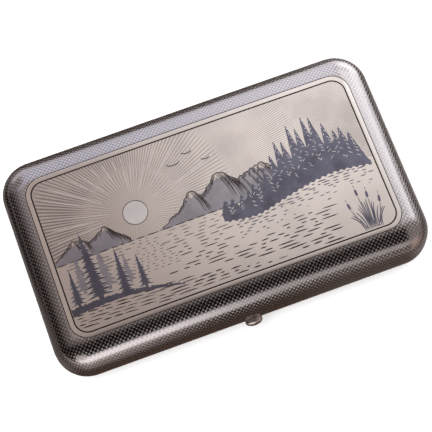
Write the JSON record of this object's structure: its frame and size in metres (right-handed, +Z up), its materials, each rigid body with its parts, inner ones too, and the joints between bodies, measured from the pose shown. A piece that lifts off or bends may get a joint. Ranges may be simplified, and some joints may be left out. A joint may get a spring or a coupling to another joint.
{
  "type": "cigarette case",
  "caption": "Slim pocket case with rounded edges: two dished metal shells on a long knuckle hinge, with a push-button catch and an elastic band in each half.",
  "frame": {"origin": "middle of the flat face that the closed case lies on", "axes": "+X along the hinge, +Y from the button to the hinge, +Z up through the lid"},
  "size_m": [0.11, 0.0665, 0.0175],
  "materials": {
    "silver_case": "polished silver with a chequered niello inlay",
    "silver_plain": "polished silver, lightly worn",
    "gilt_inside": "thin gilding on silver, satin",
    "steel": "drawn and hardened steel",
    "elastic": "flat woven elastic, old gold"
  },
  "bodies": {
    "base": {"base_shell": "silver_case", "base_bezel": "gilt_inside", "hinge_pin": "steel", "spring_rivet_left": "silver_plain", "spring_rivet_right": "silver_plain", "catch_spring": "steel", "base_band": "elastic", "base_staple_front": "gilt_inside", "base_staple_rear": "gilt_inside", "base_knuckle_1": "silver_plain", "base_knuckle_2": "silver_plain", "base_knuckle_3": "silver_plain", "base_knuckle_4": "silver_plain", "base_knuckle_5": "silver_plain"},
    "lid": {"lid_shell": "silver_case", "catch_keeper": "silver_plain", "lid_band": "elastic", "lid_staple_front": "gilt_inside", "lid_staple_rear": "gilt_inside", "lid_knuckle_1": "silver_plain", "lid_knuckle_2": "silver_plain", "lid_knuckle_3": "silver_plain", "lid_knuckle_4": "silver_plain"},
    "catch": {"thumb_button": "silver_plain", "catch_hook": "steel"}
  },
  "joints": [
    {"name": "lid_hinge", "type": "hinge", "parent": "base", "child": "lid", "pos_m": [0, 0.0313, 0.0084], "axis": [-1, 0, 0], "range_deg": [0, 135]},
    {"name": "catch_press", "type": "slide", "parent": "base", "child": "catch", "axis": [0, 1, 0], "range_m": [0, 0.0008], "stiffness_N_per_m": 2500, "springref_m": -0.0008, "deforming": ["catch_spring"]}
  ]
}
